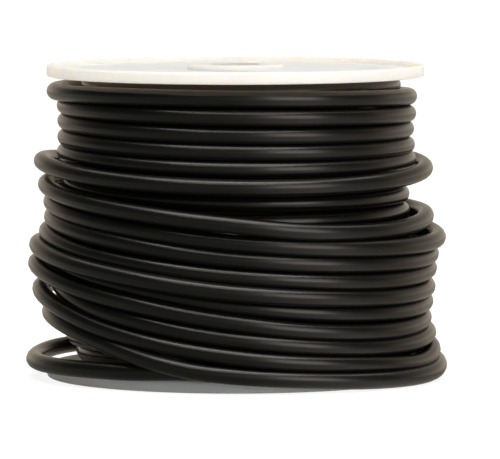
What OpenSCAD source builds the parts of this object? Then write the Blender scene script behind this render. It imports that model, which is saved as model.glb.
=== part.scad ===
// Moulded wire spool, wound past its rims with one length of round insulated cable.
// Millimetres. The spool stands on its lower flange, with its axis on +Z and z = 0 on
// the surface that it stands on. Seen from above, the cable runs counter-clockwise
// from its start slot, in the lower flange, to its free end, behind the spool (+Y).

/* [Spool] */
// Outside diameter of both flanges
flange_d = 127; // [120:1:127]
// Height over both flanges
spool_h = 105; // [102:1:110]
// Full thickness of a flange at its rim and hub
rim_t = 4; // [3.6:0.1:4]
// Depth of the recess in a flange's outer face
recess = 1.8; // [1:0.1:2]
// Width of the raised lip round a flange's edge
lip_w = 2; // [1.6:0.1:4]
// Radius that rounds a flange's edge
edge_r = 0.8; // [0.4:0.1:1.2]
// Diameter of the hub boss in the middle of a flange
hub_d = 32; // [26:1:40]

/* [Barrel] */
// Outside diameter of the barrel that the cable is wound on
barrel_d = 58; // [54:1:59]
// Wall thickness of the barrel
barrel_wall = 2; // [1.6:0.1:3]
// Diameter of the arbor bore
bore_d = 16.2; // [15:0.1:17]
// Wall thickness of the arbor tube
arbor_wall = 1.9; // [1.5:0.1:2.5]
// Number of webs between the arbor tube and the barrel
rib_count = 8; // [6:1:10]
// Thickness of a web
rib_t = 1.6; // [1:0.1:3]
// Length of the collars by which a flange holds the barrel
collar_h = 6; // [4:0.5:10]

/* [Cable] */
// Outside diameter of the cable
cable_d = 5.7; // [5.2:0.1:5.8]
// Diameter over the conductor's strands
conductor_d = 3.9; // [3:0.1:4.2]
// Length of bare strands past the cut insulation
bare_len = 1; // [0.5:0.1:3]

/* [Start slot] */
// Width of the slot in the lower flange
slot_w = 6.3; // [6:0.1:6.6]
// Length of the slot, end to end
slot_len = 14.4; // [14.2:0.1:16]

/* [Hidden] */
$fn = 96;

web_t = rim_t - recess;              // a flange between its lip and its hub
arbor_r = bore_d / 2 + arbor_wall;   // outside of the arbor tube
core_r = barrel_d / 2 - barrel_wall; // inside of the barrel
press_gap = 0.05;                    // between a collar and the tube that it holds
collar_t = 1.7;                      // wall of a collar
rib_gap = 0.5;                       // between a collar's end and a web
top_z = spool_h - rim_t;             // the upper flange's inner face
cable_r = cable_d / 2;
tube_sides = 12;

// The slot's middle, beside the barrel on the +X side
slot_x = 33;
slot_y = -4.4;

// The outermost turn at each level, as [radius, height] of the cable's middle. The lower
// half is overfilled. Two loose turns stand proud at mid height, with a sunk one between.
outer_turns = [
    [67, 7], [66.5, 12], [66, 16.5], [63.5, 21.5], [65.5, 26.5], [63, 31], [65.5, 36],
    [64.5, 41], [64, 46], [65, 51.5], [64, 57.5], [56, 63], [64.5, 70], [57.5, 75],
    [57, 80], [57, 85], [57.5, 90.5], [59.5, 96]];
last_layer_r = 53; // the layer that shows under the upper flange

// From the cut end under the lower flange, up through the slot to the first turn
start_route = [[33, -7.5, 3], [33, -4, 4.6], [33, 0, 6.1], [32.6, 5, 6.9], [31.8, 10, 6.9]];
// From the upper loose turn, along the back, to the cut free end
end_route = [[36, 53.5, 71.8], [26, 59.5, 71.4], [15.5, 63.5, 71.2], [4.5, 65.5, 71.5],
             [-7, 66.5, 72.5], [-18, 66.5, 73.5], [-29, 65, 75]];

function unit(v) = v / norm(v);
// Direction of a route at its point i
function heading(route, i) =
    unit(route[min(i + 1, len(route) - 1)] - route[max(i - 1, 0)]);
function side_of(dir) = unit(cross(dir, [0, 0, 1]));
function ring_at(route, i) =
    let (t = heading(route, i), s = side_of(t), u = cross(s, t))
    [for (k = [0:tube_sides - 1])
        let (a = 360 * k / tube_sides)
        route[i] + cable_r * (cos(a) * s + sin(a) * u)];

// A closed round tube along a route
module tube(route) {
    n = len(route);
    m = tube_sides;
    points = [for (i = [0:n - 1]) each ring_at(route, i)];
    walls = [for (i = [0:n - 2], k = [0:m - 1])
        [i * m + k, i * m + (k + 1) % m, (i + 1) * m + (k + 1) % m, (i + 1) * m + k]];
    near_cap = [for (k = [m - 1:-1:0]) k];
    far_cap = [for (k = [0:m - 1]) (n - 1) * m + k];
    polyhedron(points, concat(walls, [near_cap, far_cap]));
}

// A round bar from a point, along a direction
module bar(from, dir, d, h) {
    translate(from)
        rotate([0, acos(dir.z), atan2(dir.y, dir.x)])
            cylinder(d = d, h = h);
}

module ring(r_out, r_in, h, z = 0) {
    translate([0, 0, z])
        difference() {
            cylinder(r = r_out, h = h);
            translate([0, 0, -1]) cylinder(r = r_in, h = h + 2);
        }
}

// Half of a flange's cross-section, with its outer face down at z = 0
module flange_section() {
    lip_in = flange_d / 2 - lip_w;
    lip_out = flange_d / 2;
    hub_in = arbor_r + press_gap;
    // web
    translate([hub_in, recess]) square([lip_in - hub_in, web_t]);
    // lip, rounded at its two outer edges
    translate([lip_in, 0]) square([lip_w - edge_r, rim_t]);
    translate([lip_out - edge_r, edge_r]) square([edge_r, rim_t - 2 * edge_r]);
    for (z = [edge_r, rim_t - edge_r])
        translate([lip_out - edge_r, z]) circle(r = edge_r, $fn = 32);
    // hub boss
    translate([hub_in, 0]) square([hub_d / 2 - hub_in, rim_t]);
    // collars round the arbor tube and inside the barrel
    translate([hub_in, rim_t - 0.5]) square([collar_t, collar_h + 0.5]);
    translate([core_r - press_gap - collar_t, rim_t - 0.5]) square([collar_t, collar_h + 0.5]);
}

module flange_body() {
    rotate_extrude() flange_section();
}

module start_slot() {
    half = (slot_len - slot_w) / 2;
    translate([slot_x, slot_y, -1]) {
        translate([-slot_w / 2, -half, 0]) cube([slot_w, 2 * half, rim_t + 2]);
        for (s = [-1, 1])
            translate([0, s * half, 0]) cylinder(d = slot_w, h = rim_t + 2);
    }
}

module flange_bottom() {
    color([0.93, 0.92, 0.88])
        difference() {
            flange_body();
            start_slot();
        }
}

module flange_top() {
    color([0.93, 0.92, 0.88])
        translate([0, 0, spool_h]) mirror([0, 0, 1]) flange_body();
}

module barrel() {
    rib_z = rim_t + collar_h + rib_gap;
    color([0.9, 0.89, 0.85])
        union() {
            ring(barrel_d / 2, core_r, top_z - rim_t, rim_t);
            ring(arbor_r, bore_d / 2, spool_h);
            for (i = [0:rib_count - 1])
                rotate([0, 0, (i + 0.5) * 360 / rib_count])
                    translate([arbor_r - 0.5, -rib_t / 2, rib_z])
                        cube([core_r - arbor_r + 1, rib_t, spool_h - 2 * rib_z]);
        }
}

// Half of the winding's cross-section: the full turns, and a bead for each outer turn
module winding_section() {
    polygon(concat(
        [[barrel_d / 2, rim_t], [flange_d / 2 - 1.5, rim_t]],
        outer_turns,
        [[last_layer_r, 98], [last_layer_r, top_z], [barrel_d / 2, top_z]]));
    for (turn = outer_turns)
        translate(turn) circle(r = cable_r, $fn = 32);
}

module winding() {
    color([0.1, 0.1, 0.1]) rotate_extrude() winding_section();
}

module cable_start() {
    color([0.1, 0.1, 0.1]) tube(start_route);
}

module strands_start() {
    color([0.72, 0.45, 0.3])
        bar(start_route[0], -heading(start_route, 0), conductor_d, 0.25);
}

module cable_end() {
    color([0.1, 0.1, 0.1]) tube(end_route);
}

module strands_end() {
    last = len(end_route) - 1;
    color([0.72, 0.45, 0.3])
        bar(end_route[last], heading(end_route, last), conductor_d, bare_len);
}

flange_bottom();
flange_top();
barrel();
winding();
cable_start();
strands_start();
cable_end();
strands_end();
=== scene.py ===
"""A moulded wire spool, wound past its rims with one length of black insulated cable.

The scene is in metres. Its origin is the middle of the surface that the spool stands on, the spool's
axis is +Z, and the camera stands on the -Y side. The cable's own sizes and route are in millimetres. A
point of the route is (turns, radius, height): turns count counter-clockwise from +X seen from above, so
in each turn .25 is the back, .5 the left, .75 the front and 1.0 the right.
"""
import math

import bpy
import numpy as np
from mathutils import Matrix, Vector


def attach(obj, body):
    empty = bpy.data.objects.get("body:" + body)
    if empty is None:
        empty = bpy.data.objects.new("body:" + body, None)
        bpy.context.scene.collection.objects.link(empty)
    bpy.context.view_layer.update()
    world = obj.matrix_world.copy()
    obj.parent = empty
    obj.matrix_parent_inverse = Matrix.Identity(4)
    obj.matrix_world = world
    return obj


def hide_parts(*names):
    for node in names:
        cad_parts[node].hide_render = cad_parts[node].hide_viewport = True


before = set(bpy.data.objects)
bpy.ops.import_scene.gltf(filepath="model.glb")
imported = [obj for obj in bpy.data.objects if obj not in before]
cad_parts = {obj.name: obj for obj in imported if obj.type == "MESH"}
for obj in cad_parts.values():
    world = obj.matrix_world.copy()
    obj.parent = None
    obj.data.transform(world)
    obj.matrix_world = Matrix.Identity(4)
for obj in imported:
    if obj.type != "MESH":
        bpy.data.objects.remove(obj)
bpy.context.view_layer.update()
MM = 0.001

# ---------------------------------------------------------------- the cable's size
CABLE_D = 5.7
CABLE_R = CABLE_D / 2
CONDUCTOR_R = 1.95      # over all the strands
SIDES = 20              # of the tube that is the cable
RINGS_PER_TURN_INSIDE = 24
RINGS_PER_TURN_OUTSIDE = 72

# Each cut end, where the strands stand in a hollow in the insulation
HOLLOW_DEPTH = 1.5
MOUTH_DEPTH = 0.05      # of the wider mouth of the hollow
MOUTH_FLARE = 0.1       # by which the mouth is wider in radius
CUT_ROUNDING = 0.12     # of the insulation's outer edge
# (radius, depth behind the end) from the bottom of the hollow to the cable's side
CUT_PROFILE = [
    (CONDUCTOR_R, HOLLOW_DEPTH), (CONDUCTOR_R, MOUTH_DEPTH), (CONDUCTOR_R + MOUTH_FLARE, 0.0),
    (CABLE_R - CUT_ROUNDING, 0.0), (CABLE_R, CUT_ROUNDING),
]

STRAND_R = 0.385
STRAND_SIDES = 10
# (distance from the middle in strand radii, strands, share of a step that they are turned by)
STRAND_RINGS = ((0, 1, 0.0), (2, 6, 0.0), (3.95, 12, 0.5))
LAY = 0.16              # radians that the strands turn per millimetre
STRAND_DEPTH = 1.45     # of the strands in the hollow
START_BARE_LENGTH = 0.2
END_BARE_LENGTH = 1.0
SHORTEST_CUT = -0.07    # how far a strand may end short of the bare length, at 1 mm or more of it
LONGEST_CUT = 0.03      # and how far past it
STRAND_EDGE = 0.06      # length of the rounded edge at a strand's end
STRAND_END_SHARES = (0.9, 0.45)  # of its radius, at the two rings of its end

# ---------------------------------------------------------------- the cable's route
LOW_Z = 6.9               # of a turn that lies on the lower flange
HIGH_Z = 98.1             # of a turn under the upper flange
LAYER_RADII = (31.9, 36.6, 41.3, 46.0, 50.7)
TURNS_PER_LAYER = 15
FIRST_LAYER_TURN = 0.25   # where the first layer's knots begin
OPENING_END = 0.3         # the cable's start, up to this turn, has its own finer rings
OPENING_RINGS = 24
FRONT = 0.75              # the front, as a part of a turn
LONGEST_STEP_BACK = 0.4   # by which the next turns may be counted from before the last knot

# From the cut end, up through the slot in the lower flange, to the barrel
START = [
    (-0.0356, 33.84, 3.0), (-0.0192, 33.24, 4.6), (0.0, 33.0, 6.1), (0.0242, 32.98, 6.9),
    (0.0485, 33.3, 6.9), (0.12, 32.3, 6.9),
]

# Turns that show, in the cable's order, each as (degrees from the front, radius, height): -90 is the
# left side, 90 the right side and 180 the back. First, down from the upper flange ...
UPPER_TURNS = [
    [(-90, 49.0, 98.1), (0, 50.8, 98.1), (90, 52.8, 98.1), (180, 57.4, 97.4), (225, 60.2, 96.3)],
    [
        (-90, 60.7, 96.0), (-45, 58.9, 96.3), (0, 57.6, 96.0), (45, 57.6, 95.2), (90, 58.3, 94.2),
        (180, 57.6, 92.0),
    ],
    [(-90, 57.3, 91.3), (0, 57.7, 90.0), (90, 58.0, 88.5), (180, 57.0, 86.6)],
    [(-90, 57.1, 86.1), (0, 57.0, 84.0), (45, 57.2, 83.5), (90, 57.3, 83.4), (180, 56.8, 81.5)],
    [(-90, 57.1, 80.7), (0, 57.0, 78.5), (45, 57.3, 78.0), (90, 57.6, 78.0), (180, 57.4, 76.6)],
    [(-90, 57.3, 75.7), (0, 57.6, 72.9), (45, 57.8, 72.7), (90, 58.0, 73.3), (180, 57.0, 71.4)],
    [(-90, 56.0, 70.0), (0, 56.2, 67.0), (90, 56.2, 67.5), (180, 55.8, 66.0)],
    [(-90, 55.6, 64.9), (0, 54.4, 61.5), (45, 55.0, 61.3), (90, 55.8, 61.5), (180, 56.0, 60.2)],
    [(-90, 56.0, 59.0), (0, 54.8, 55.4), (45, 55.2, 55.4), (90, 56.0, 55.8), (180, 55.6, 53.5)],
]
# ... and up again from the lower one, to the two loose loops
OUTER_TURNS = [
    [
        (-180, 59.5, 6.9), (-145, 64.0, 7.2), (-120, 66.8, 7.2), (-90, 67.8, 5.9), (-45, 65.2, 6.1),
        (-30, 64.3, 6.3), (-20, 62.5, 6.7), (-10, 61.0, 6.9), (0, 60.0, 6.9), (45, 59.4, 6.9),
        (90, 60.0, 6.9), (180, 64.8, 8.4),
    ],
    [
        (-90, 62.4, 22.0), (-65, 63.0, 19.6), (-45, 63.6, 15.4), (-20, 67.0, 9.3), (-10, 67.0, 7.2),
        (0, 66.2, 6.0), (20, 66.6, 4.4), (45, 68.6, 3.0), (68, 69.3, 3.0), (90, 68.4, 4.5),
        (180, 66.3, 13.9),
    ],
    [
        (-90, 65.7, 29.8), (-62, 65.2, 25.0), (-45, 64.6, 20.5), (0, 65.6, 11.9), (45, 66.2, 8.0),
        (68, 66.3, 6.9), (90, 66.4, 9.2), (180, 63.9, 19.3),
    ],
    [
        (-90, 59.0, 33.0), (-62, 61.5, 28.6), (-45, 63.4, 25.8), (0, 64.4, 17.6), (45, 65.0, 13.5),
        (90, 64.9, 14.8), (180, 66.0, 24.5),
    ],
    [
        (-90, 67.1, 38.2), (-45, 65.5, 31.3), (0, 64.4, 23.2), (20, 64.4, 20.3), (45, 64.8, 18.7),
        (90, 63.3, 20.1), (180, 63.6, 29.6),
    ],
    [
        (-90, 62.0, 40.8), (-45, 62.0, 35.2), (0, 62.0, 28.2), (45, 63.6, 24.6), (90, 63.9, 25.3),
        (180, 66.3, 34.6),
    ],
    [
        (-90, 66.7, 44.6), (-45, 66.6, 39.4), (0, 65.4, 33.1), (45, 65.2, 30.0), (90, 64.6, 30.4),
        (180, 63.6, 39.7),
    ],
    [
        (-90, 63.4, 49.0), (-45, 62.7, 43.4), (0, 62.9, 38.1), (45, 65.1, 35.4), (90, 65.1, 36.6),
        (180, 65.6, 45.1),
    ],
    [
        (-90, 61.7, 54.0), (-45, 62.6, 49.6), (0, 62.7, 43.8), (45, 65.2, 41.1), (90, 65.7, 41.6),
        (120, 64.6, 45.1), (180, 64.4, 50.6),
    ],
    [
        (-90, 61.9, 59.0), (-45, 62.0, 54.5), (0, 62.8, 49.2), (45, 66.3, 46.4), (90, 68.1, 47.0),
        (120, 67.4, 49.7), (180, 66.0, 56.5),
    ],
    [
        (-90, 63.7, 64.9), (-45, 64.0, 60.4), (0, 65.0, 55.2), (20, 65.3, 52.9), (45, 65.0, 51.9),
        (68, 64.3, 52.6), (90, 64.0, 54.3), (120, 64.2, 55.4), (180, 64.5, 63.5),
    ],
    [
        (-90, 65.1, 72.6), (-45, 63.5, 69.4), (0, 62.2, 67.3), (45, 62.8, 67.7), (90, 63.7, 70.2),
        (118, 64.2, 71.8),
    ],
]
# Between the two, the layer that goes on down behind the outer turns
HIDDEN_TURNS = 7
HIDDEN_RADIUS = 54.6
HIDDEN_LOW_Z = 12.4     # it ends short of the lower flange
# From the last loop, along the back, to the free end, as parts of the turn that the loop ends in
END = [
    (0.1556, 64.5, 71.8), (0.1844, 64.9, 71.4), (0.2123, 65.4, 71.2), (0.239, 65.65, 71.5),
    (0.2667, 66.9, 72.5), (0.2925, 68.9, 73.5), (0.317, 71.2, 75.0),
]


def placed(turns, first):
    """Knots of turns that show. The first turn's front comes at that number of turns plus FRONT."""
    return [
        (first + i + FRONT + degrees / 360, radius, height)
        for i, turn in enumerate(turns)
        for degrees, radius, height in turn
    ]


def inner_layers():
    """Knots of the layers next to the barrel, wound up and down it in turn, two knots to a turn."""
    knots = []
    turn = FIRST_LAYER_TURN
    for i, radius in enumerate(LAYER_RADII):
        ends = (LOW_Z, HIGH_Z) if i % 2 == 0 else (HIGH_Z, LOW_Z)
        for k in range(2 * TURNS_PER_LAYER + 1):
            share = k / (2 * TURNS_PER_LAYER)
            knots.append((turn + k / 2, radius, ends[0] + (ends[1] - ends[0]) * share))
        turn += TURNS_PER_LAYER + 0.5  # the next layer begins half a turn further on
    return knots


def next_turn(knots):
    """The whole number of turns that the next turns that show are counted from."""
    return math.ceil(knots[-1][0] - LONGEST_STEP_BACK)


def all_knots():
    """Knots of the whole cable, and the number of turns at which those that show begin."""
    inner = inner_layers()
    upper = placed(UPPER_TURNS, next_turn(inner))
    knots = START + inner + upper
    turn, radius, height = upper[-1]
    for k in range(1, 2 * HIDDEN_TURNS):
        share = k / (2 * HIDDEN_TURNS - 1)
        knots.append((turn + k / 2, HIDDEN_RADIUS, height + (HIDDEN_LOW_Z - height) * share))
    knots += placed(OUTER_TURNS, next_turn(knots))
    last_turn = math.floor(knots[-1][0])
    knots += [(last_turn + part, radius, height) for part, radius, height in END]
    return knots, upper[0][0]


def smooth(knots, at):
    """Radius and height at those numbers of turns, on a cubic Hermite curve through the knots."""
    knots = np.array(knots, float)
    turns, places = knots[:, 0], knots[:, 1:]
    slope = np.gradient(places, turns, axis=0)
    i = np.clip(np.searchsorted(turns, at, side="right") - 1, 0, len(turns) - 2)
    span = (turns[i + 1] - turns[i])[:, None]
    u = (at - turns[i])[:, None] / span
    return (
        (1 - 3 * u**2 + 2 * u**3) * places[i]
        + (u - 2 * u**2 + u**3) * span * slope[i]
        + (3 * u**2 - 2 * u**3) * places[i + 1]
        + (u**3 - u**2) * span * slope[i + 1]
    )


def cable_line():
    """The middles of the cable's rings, in millimetres."""
    knots, shown_from = all_knots()
    first, last = knots[0][0], knots[-1][0]
    inside = np.linspace(first, shown_from, int((shown_from - first) * RINGS_PER_TURN_INSIDE) + 1)
    shown = np.linspace(shown_from, last, int((last - shown_from) * RINGS_PER_TURN_OUTSIDE) + 1)
    opening = np.linspace(first, OPENING_END, OPENING_RINGS)
    at = np.concatenate([opening, inside[inside > OPENING_END + 0.01], shown[1:]])
    radius, height = smooth(knots, at).T
    angle = 2 * math.pi * at
    return np.stack([radius * np.cos(angle), radius * np.sin(angle), height], axis=1)


def frames(line):
    """Directions at each point of a line: along it, level across it, and square to both."""
    along = np.gradient(line, axis=0)
    along /= np.linalg.norm(along, axis=1)[:, None]
    out = np.cross(along, (0.0, 0.0, 1.0))
    out /= np.linalg.norm(out, axis=1)[:, None]
    return along, out, np.cross(out, along)


def tube_faces(first, rings, sides):
    """Faces of a closed tube of rings of points, the first of which has that number."""
    faces = []
    for a in range(rings - 1):
        here = first + a * sides
        there = here + sides
        for k in range(sides):
            following = (k + 1) % sides
            faces.append((here + k, here + following, there + following, there + k))
    last = first + (rings - 1) * sides
    faces.append(tuple(range(first + sides - 1, first - 1, -1)))
    faces.append(tuple(range(last, last + sides)))
    return faces


def mesh_object(name, points, faces):
    """A smooth-shaded object in the scene, from points in millimetres."""
    mesh = bpy.data.meshes.new(name)
    mesh.from_pydata((points * MM).tolist(), [], faces)
    mesh.shade_smooth()
    obj = bpy.data.objects.new(name, mesh)
    bpy.context.collection.objects.link(obj)
    return obj


def cable_object(line):
    """A closed tube round the line, with a hollow at both ends where its conductor shows.

    The attribute "skin" holds each point's place across the cable and its distance along it, in
    metres, so a pattern made from it follows the cable.
    """
    along, out, up = frames(line)
    angle = np.linspace(0, 2 * math.pi, SIDES, endpoint=False)
    cos, sin = np.cos(angle), np.sin(angle)

    def ring(i, radius, shift=0.0):
        """A ring of points round the line's point i, moved on along the line."""
        middle = line[i] + along[i] * shift
        return middle + radius * (cos[:, None] * out[i] + sin[:, None] * up[i])

    last = len(line) - 1
    rings = [ring(0, radius, depth) for radius, depth in CUT_PROFILE]
    distance = [0.0] * len(CUT_PROFILE)
    run = np.concatenate([[0], np.cumsum(np.linalg.norm(np.diff(line, axis=0), axis=1))])
    for i in range(1, last):
        rings.append(ring(i, CABLE_R))
        distance.append(run[i])
    rings += [ring(last, radius, -depth) for radius, depth in reversed(CUT_PROFILE)]
    distance += [run[-1]] * len(CUT_PROFILE)
    faces = tube_faces(0, len(rings), SIDES)
    obj = mesh_object("cable", np.concatenate(rings), faces)
    skin = [(c * CABLE_R * MM, s * CABLE_R * MM, far * MM) for far in distance for c, s in zip(cos, sin)]
    attribute = obj.data.attributes.new("skin", "FLOAT_VECTOR", "POINT")
    attribute.data.foreach_set("vector", np.ravel(skin))
    return obj


# ---------------------------------------------------------------- camera
CAMERA_DISTANCE = 1.923
CAMERA_HEIGHT = 0.1896
AIM = Vector((0.00489, 0.0, 0.0492))
LENS = 412              # millimetres, on a sensor 36 mm wide


def make_camera():
    """The scene's camera, a little above the spool, with a long lens."""
    data = bpy.data.cameras.new("camera")
    data.sensor_width = 36
    data.lens = LENS
    data.clip_start, data.clip_end = 0.05, 40
    camera = bpy.data.objects.new("camera", data)
    camera.location = (0, -CAMERA_DISTANCE, CAMERA_HEIGHT)
    camera.rotation_euler = (AIM - camera.location).to_track_quat("-Z", "Y").to_euler()
    bpy.context.collection.objects.link(camera)
    bpy.context.scene.camera = camera


# ---------------------------------------------------------------- the conductor's strands
def strand_places():
    """(distance from the middle, angle) of each strand."""
    return [
        (radii * STRAND_R, (k + turned) * 2 * math.pi / count)
        for radii, count, turned in STRAND_RINGS
        for k in range(count)
    ]


def strands_object(name, end, along, out, up, bare, seed):
    """Copper strands that stand that far out of the insulation's end, cut off not quite level."""
    rng = np.random.default_rng(seed)
    radii = [STRAND_R] * 4 + [STRAND_R * share for share in STRAND_END_SHARES]
    points, faces = [], []
    for distance, angle in strand_places():
        reach = bare + rng.uniform(SHORTEST_CUT, LONGEST_CUT) * min(1.0, bare)
        depths = [-STRAND_DEPTH, -STRAND_DEPTH / 2, 0.0, reach - STRAND_EDGE, reach, reach]
        faces += tube_faces(len(points), len(depths), STRAND_SIDES)
        for depth, radius in zip(depths, radii):
            turned = angle + LAY * depth
            middle = end + along * depth
            middle = middle + distance * (math.cos(turned) * out + math.sin(turned) * up)
            for k in range(STRAND_SIDES):
                side = 2 * math.pi * k / STRAND_SIDES
                points.append(middle + radius * (math.cos(side) * out + math.sin(side) * up))
    obj = mesh_object(name, np.array(points), faces)
    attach(obj, "root")
    return obj


make_camera()
line_mm = cable_line()
cable = cable_object(line_mm)
ahead, across, upward = frames(line_mm)
conductor_start = strands_object(
    "conductor_start", line_mm[0], -ahead[0], across[0], upward[0], START_BARE_LENGTH, 1)
conductor_end = strands_object(
    "conductor_end", line_mm[-1], ahead[-1], across[-1], upward[-1], END_BARE_LENGTH, 2)
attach(cable, "root")
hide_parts("winding", "cable_start", "cable_end")
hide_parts("strands_start")
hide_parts("strands_end")


# ---------------------------------------------------------------- materials
def linked(tree, kind, *inputs, **settings):
    """A new node with those settings, its inputs linked from sockets or set to values."""
    node = tree.nodes.new(kind)
    for key, value in settings.items():
        setattr(node, key, value)
    for socket, value in zip(node.inputs, inputs):
        if isinstance(value, bpy.types.NodeSocket):
            tree.links.new(value, socket)
        elif value is not None:
            socket.default_value = value
    return node


def ramp_node(tree, fac, stops):
    """A ramp's colour at that factor. Its stops are (place, grey level or colour)."""
    node = linked(tree, "ShaderNodeValToRGB", fac)
    ramp = node.color_ramp
    while len(ramp.elements) < len(stops):
        ramp.elements.new(1.0)
    for element, (place, colour) in zip(ramp.elements, stops):
        element.position = place
        element.color = (*colour, 1) if isinstance(colour, tuple) else (colour, colour, colour, 1)
    return node.outputs["Color"]


def math_node(tree, operation, *inputs):
    """The result of a math node."""
    return linked(tree, "ShaderNodeMath", *inputs, operation=operation).outputs[0]


def noise(tree, vector, scale, detail=2.0):
    """Noise with that many features to a metre, from 0 to 1."""
    node = linked(tree, "ShaderNodeTexNoise", vector)
    node.inputs["Scale"].default_value = scale
    node.inputs["Detail"].default_value = detail
    return node.outputs["Fac"]


def stretched(tree, vector, scale):
    """A vector scaled along each axis. The smaller the scale, the longer a pattern made from it."""
    node = linked(tree, "ShaderNodeMapping", vector)
    node.inputs["Scale"].default_value = scale
    return node.outputs["Vector"]


def bumped(tree, height, distance, strength, normal=None):
    """The surface's normal with that height, in metres at full strength."""
    node = linked(tree, "ShaderNodeBump")
    node.inputs["Strength"].default_value = strength
    node.inputs["Distance"].default_value = distance
    tree.links.new(height, node.inputs["Height"])
    if normal:
        tree.links.new(normal, node.inputs["Normal"])
    return node.outputs["Normal"]


def speckled(tree, fac, under, over):
    """One colour with another over it by that factor. The first is a socket."""
    mix = linked(tree, "ShaderNodeMix", data_type="RGBA")
    tree.links.new(fac, mix.inputs["Factor"])
    tree.links.new(under, mix.inputs["A"])
    mix.inputs["B"].default_value = (*over, 1)
    return mix.outputs["Result"]


def new_material(name):
    """A node material, its node tree and its shader."""
    material = bpy.data.materials.new(name)
    material.use_nodes = True
    tree = material.node_tree
    return material, tree, tree.nodes["Principled BSDF"]


def dress(obj, material):
    """Give an object that material all over."""
    if obj.material_slots:
        for slot in obj.material_slots:
            slot.material = material
    else:
        obj.data.materials.append(material)


# Linear colours, and ramps' stops as (place, colour)
JACKET_BLACKS = [
    (0.3, (0.0028, 0.0028, 0.0024)), (0.55, (0.0036, 0.0036, 0.0031)), (0.75, (0.0048, 0.0046, 0.004)),
]
JACKET_DUST = (0.02, 0.019, 0.016)
PLASTIC_SCUFF = (0.72, 0.7, 0.66)
FLANGE_LOW, FLANGE_HIGH = (0.85, 0.835, 0.8), (0.9, 0.89, 0.865)
BARREL_LOW, BARREL_HIGH = (0.78, 0.765, 0.73), (0.84, 0.825, 0.79)
COPPERS = [(0.3, (0.42, 0.17, 0.08)), (0.5, (0.74, 0.36, 0.21)), (0.7, (0.87, 0.47, 0.3))]


def jacket_material():
    """Black extruded insulation: long fine lines, smoother and duller patches, a little dust."""
    material, tree, shader = new_material("jacket")
    skin = linked(tree, "ShaderNodeAttribute", attribute_name="skin").outputs["Vector"]
    place = linked(tree, "ShaderNodeTexCoord").outputs["Object"]
    streaks = noise(tree, stretched(tree, skin, (1.0, 1.0, 0.02)), 2600.0, 3.0)
    patches = noise(tree, stretched(tree, skin, (1.0, 1.0, 0.3)), 90.0, 3.0)
    grain = noise(tree, place, 3500.0, 2.0)
    waves = noise(tree, skin, 55.0, 1.0)
    dust = noise(tree, place, 420.0, 5.0)
    black = ramp_node(tree, patches, JACKET_BLACKS)
    dusty = ramp_node(tree, dust, [(0.66, 0.0), (0.78, 0.35)])
    tree.links.new(speckled(tree, dusty, black, JACKET_DUST), shader.inputs["Base Color"])
    mixed = math_node(tree, "MULTIPLY_ADD", streaks, 0.5, math_node(tree, "MULTIPLY", patches, 0.5))
    rough = ramp_node(tree, mixed, [(0.3, 0.24), (0.5, 0.27), (0.7, 0.31)])
    tree.links.new(rough, shader.inputs["Roughness"])
    normal = bumped(tree, waves, 0.0006, 0.3)
    normal = bumped(tree, streaks, 0.00002, 0.15, normal)
    normal = bumped(tree, grain, 0.00002, 0.3, normal)
    tree.links.new(normal, shader.inputs["Normal"])
    return material


def plastic_material(name, low, high, roughness, glow):
    """Moulded white plastic: faint clouds between two colours, a fine satin grain and scuffs.

    glow is the share of light that passes into it.
    """
    material, tree, shader = new_material(name)
    place = linked(tree, "ShaderNodeTexCoord").outputs["Object"]
    clouds = noise(tree, place, 38.0, 3.0)
    grain = noise(tree, place, 2600.0, 2.0)
    scuffs = noise(tree, stretched(tree, place, (1.0, 0.25, 1.0)), 700.0, 4.0)
    ridges = noise(tree, place, 160.0, 2.0)
    marks = ramp_node(tree, scuffs, [(0.62, 0.0), (0.72, 0.3)])
    clouded = ramp_node(tree, clouds, [(0.3, low), (0.65, high)])
    tree.links.new(speckled(tree, marks, clouded, PLASTIC_SCUFF), shader.inputs["Base Color"])
    worn = math_node(tree, "MULTIPLY_ADD", scuffs, 0.6, math_node(tree, "MULTIPLY", grain, 0.4))
    spread = [(0.3, roughness - 0.07), (0.5, roughness), (0.7, roughness + 0.12)]
    tree.links.new(ramp_node(tree, worn, spread), shader.inputs["Roughness"])
    normal = bumped(tree, ridges, 0.0004, 0.15)
    normal = bumped(tree, grain, 0.00003, 0.35, normal)
    tree.links.new(normal, shader.inputs["Normal"])
    shader.inputs["Subsurface Weight"].default_value = glow
    shader.inputs["Subsurface Radius"].default_value = (1.0, 0.7, 0.45)
    shader.inputs["Subsurface Scale"].default_value = 0.01
    return material


def copper_material():
    """Bright drawn copper, browned in places, with fine lines along it."""
    material, tree, shader = new_material("copper")
    place = linked(tree, "ShaderNodeTexCoord").outputs["Object"]
    tarnish = noise(tree, place, 900.0, 4.0)
    lines = noise(tree, stretched(tree, place, (0.2, 1.0, 1.0)), 6000.0, 2.0)
    tree.links.new(ramp_node(tree, tarnish, COPPERS), shader.inputs["Base Color"])
    tree.links.new(ramp_node(tree, lines, [(0.3, 0.2), (0.7, 0.42)]), shader.inputs["Roughness"])
    tree.links.new(bumped(tree, lines, 0.00002, 0.4), shader.inputs["Normal"])
    shader.inputs["Metallic"].default_value = 1.0
    return material


dress(cable, jacket_material())
copper = copper_material()
dress(conductor_start, copper)
dress(conductor_end, copper)
flange_plastic = plastic_material("spool_plastic", FLANGE_LOW, FLANGE_HIGH, 0.4, 1.0)
for name in ("flange_bottom", "flange_top"):
    dress(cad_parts[name], flange_plastic)
barrel_plastic = plastic_material("barrel_plastic", BARREL_LOW, BARREL_HIGH, 0.52, 0.6)
dress(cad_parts["barrel"], barrel_plastic)


# ---------------------------------------------------------------- floor and light
# Tints of what is round the spool
WARM = (1.0, 0.87, 0.71)
WINDOW = (1.0, 0.92, 0.84)
ROOM = (0.98, 0.97, 0.84)
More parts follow.
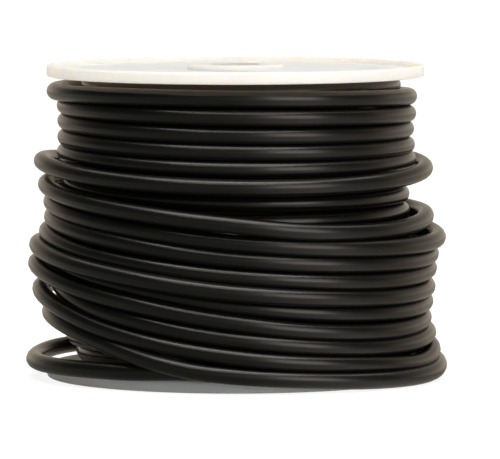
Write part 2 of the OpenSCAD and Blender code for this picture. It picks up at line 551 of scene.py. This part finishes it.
# What lights the spool from all round it: degrees to the right of the camera, level, tint
AROUND = [
    (-180, 1.0, WARM), (-150, 0.95, WARM), (-128, 0.3, WARM), (-105, 0.09, ROOM), (-60, 0.1, ROOM),
    (-20, 0.24, ROOM), (5, 0.38, ROOM), (17, 0.65, WINDOW), (30, 1.3, WINDOW), (48, 1.3, WINDOW),
    (62, 0.5, WINDOW), (80, 0.2, ROOM), (100, 0.28, WARM), (120, 0.9, WARM), (180, 1.0, WARM),
]
# The same for what the cable's gloss sees of the floor, in that direction from the spool
ON_FLOOR = [
    (-180, 1.0, WARM), (-128, 0.9, WARM), (-95, 0.45, ROOM), (-74, 0.36, ROOM), (-36, 0.26, ROOM),
    (3, 0.3, ROOM), (20, 0.8, WINDOW), (44, 1.3, WINDOW), (64, 0.7, WINDOW), (88, 0.6, WARM),
    (120, 1.0, WARM), (180, 1.0, WARM),
]
AROUND_STRENGTH = 1.6   # the level that a ramp's full colour stands for
# How the surroundings fade upwards: (half of 1 + the direction's height, level)
FADE_UP = [(0.45, 1.0), (0.52, 1.0), (0.58, 0.85), (0.68, 0.45), (0.8, 0.35)]
BACKDROP = 1.02         # the camera's own view of the white behind the spool

FLOOR_HALF = 7.0
FLOOR_Z = -0.0002       # just under the spool's lip
FLOOR_GREY = 0.25
# The floor's own light, by the distance from the axis, lower close round the spool as painted shade:
# (from, to, level at from, level at to)
FLOOR_SHOWN = (0.05, 0.3, 0.88, 1.0)    # as the camera sees it, a soft shade near the spool
FLOOR_BOUNCE = (0.1, 0.17, 0.06, 1.15)  # as it lights the spool, dark close round it
BOUNCE_TINT = (1, 0.94, 0.84)


def surroundings(tree, toward, table):
    """A table's colour in that direction, up to 1, and the direction's height."""
    x, y, z = linked(tree, "ShaderNodeSeparateXYZ", toward).outputs
    azimuth = math_node(tree, "ARCTAN2", x, math_node(tree, "MULTIPLY", y, -1.0))
    share = math_node(tree, "MULTIPLY_ADD", azimuth, 0.5 / math.pi, 0.5)
    stops = [
        (degrees / 360 + 0.5, tuple(level / AROUND_STRENGTH * part for part in tint))
        for degrees, level, tint in table
    ]
    return ramp_node(tree, share, stops), z


def make_floor():
    """A plain pale floor, which shows white with a painted soft shade near the spool, lights the spool and
    has its own look in the gloss.
    """
    mesh = bpy.data.meshes.new("floor")
    corners = [(x * FLOOR_HALF, y * FLOOR_HALF, FLOOR_Z) for x, y in ((-1, -1), (1, -1), (1, 1), (-1, 1))]
    mesh.from_pydata(corners, [], [(0, 1, 2, 3)])
    floor = bpy.data.objects.new("floor", mesh)
    bpy.context.collection.objects.link(floor)
    material = bpy.data.materials.new("floor")
    material.use_nodes = True
    tree = material.node_tree
    tree.nodes.clear()
    white = linked(tree, "ShaderNodeBsdfDiffuse", (FLOOR_GREY, FLOOR_GREY, FLOOR_GREY, 1))
    rays = linked(tree, "ShaderNodeLightPath").outputs
    place = linked(tree, "ShaderNodeTexCoord").outputs["Object"]
    away = linked(tree, "ShaderNodeVectorMath", place, operation="LENGTH").outputs["Value"]
    # The floor's glow is lower near the spool: a painted soft shadow as the camera sees it, and painted
    # shade in the light it sends to the spool
    shown = linked(tree, "ShaderNodeMapRange", away, *FLOOR_SHOWN).outputs["Result"]
    bounce = linked(tree, "ShaderNodeMapRange", away, *FLOOR_BOUNCE).outputs["Result"]
    strength = linked(tree, "ShaderNodeMix", rays["Is Diffuse Ray"], None, shown, bounce).outputs[0]
    tint = linked(tree, "ShaderNodeMix", rays["Is Diffuse Ray"], data_type="RGBA")
    tint.inputs["A"].default_value = (1, 1, 1, 1)
    tint.inputs["B"].default_value = (*BOUNCE_TINT, 1)
    glow = linked(tree, "ShaderNodeEmission", tint.outputs["Result"], strength)
    pale = linked(tree, "ShaderNodeAddShader", white.outputs[0], glow.outputs[0])
    in_gloss = linked(tree, "ShaderNodeEmission", surroundings(tree, place, ON_FLOOR)[0], 1.0)
    both = linked(tree, "ShaderNodeMixShader", rays["Is Glossy Ray"], pale.outputs[0], in_gloss.outputs[0])
    linked(tree, "ShaderNodeOutputMaterial", both.outputs[0])
    dress(floor, material)


def area_light(name, place, aim, size, watts, color):
    """A rectangular light at that place, turned to face the point it aims at."""
    data = bpy.data.lights.new(name, "AREA")
    data.shape = "RECTANGLE"
    data.size, data.size_y = size
    data.energy = watts
    data.color = color
    light = bpy.data.objects.new(name, data)
    light.location = place
    light.rotation_euler = (Vector(aim) - Vector(place)).to_track_quat("-Z", "Y").to_euler()
    bpy.context.collection.objects.link(light)


def multiply(tree, a, b):
    """The product of two colours."""
    node = linked(tree, "ShaderNodeMix", data_type="RGBA", blend_type="MULTIPLY")
    node.inputs["Factor"].default_value = 1.0
    tree.links.new(a, node.inputs["A"])
    tree.links.new(b, node.inputs["B"])
    return node.outputs["Result"]


def make_world():
    """White for the camera. Round the spool, a large window to its right and dark to its left."""
    world = bpy.data.worlds.new("world")
    world.use_nodes = True
    bpy.context.scene.world = world
    tree = world.node_tree
    tree.nodes.clear()
    around, z = surroundings(tree, linked(tree, "ShaderNodeTexCoord").outputs["Generated"], AROUND)
    height = math_node(tree, "MULTIPLY_ADD", z, 0.5, 0.5)
    level = ramp_node(tree, height, FADE_UP)
    lit = linked(tree, "ShaderNodeBackground", multiply(tree, around, level), AROUND_STRENGTH)
    white = linked(tree, "ShaderNodeBackground", (1, 1, 1, 1), BACKDROP)
    camera_ray = linked(tree, "ShaderNodeLightPath").outputs["Is Camera Ray"]
    both = linked(tree, "ShaderNodeMixShader", camera_ray, lit.outputs[0], white.outputs[0])
    linked(tree, "ShaderNodeOutputWorld", both.outputs[0])


def make_lights():
    """Soft lights from above, from the upper front and from the window's side."""
    area_light("overhead", (0.0, -0.33, 1.3), (0.0, -0.33, 0), (1.4, 0.3), 8.5, (1, 0.96, 0.93))
    area_light("window", (0.86, -1.1, 0.5), (0.0, 0.0, 0.05), (0.85, 0.9), 4.5, (1, 0.94, 0.88))
    area_light("ceiling", (0.0, 0.4, 1.3), (0.0, 0.4, 0), (1.8, 1.1), 9.5, (1, 0.95, 0.91))
    area_light("upper_front", (0.0, -0.8, 1.2), (0, 0, 0.06), (1.2, 0.2), 3.2, (1, 0.95, 0.9))


make_floor()
make_world()
make_lights()
bpy.context.scene.view_settings.view_transform = "Standard"
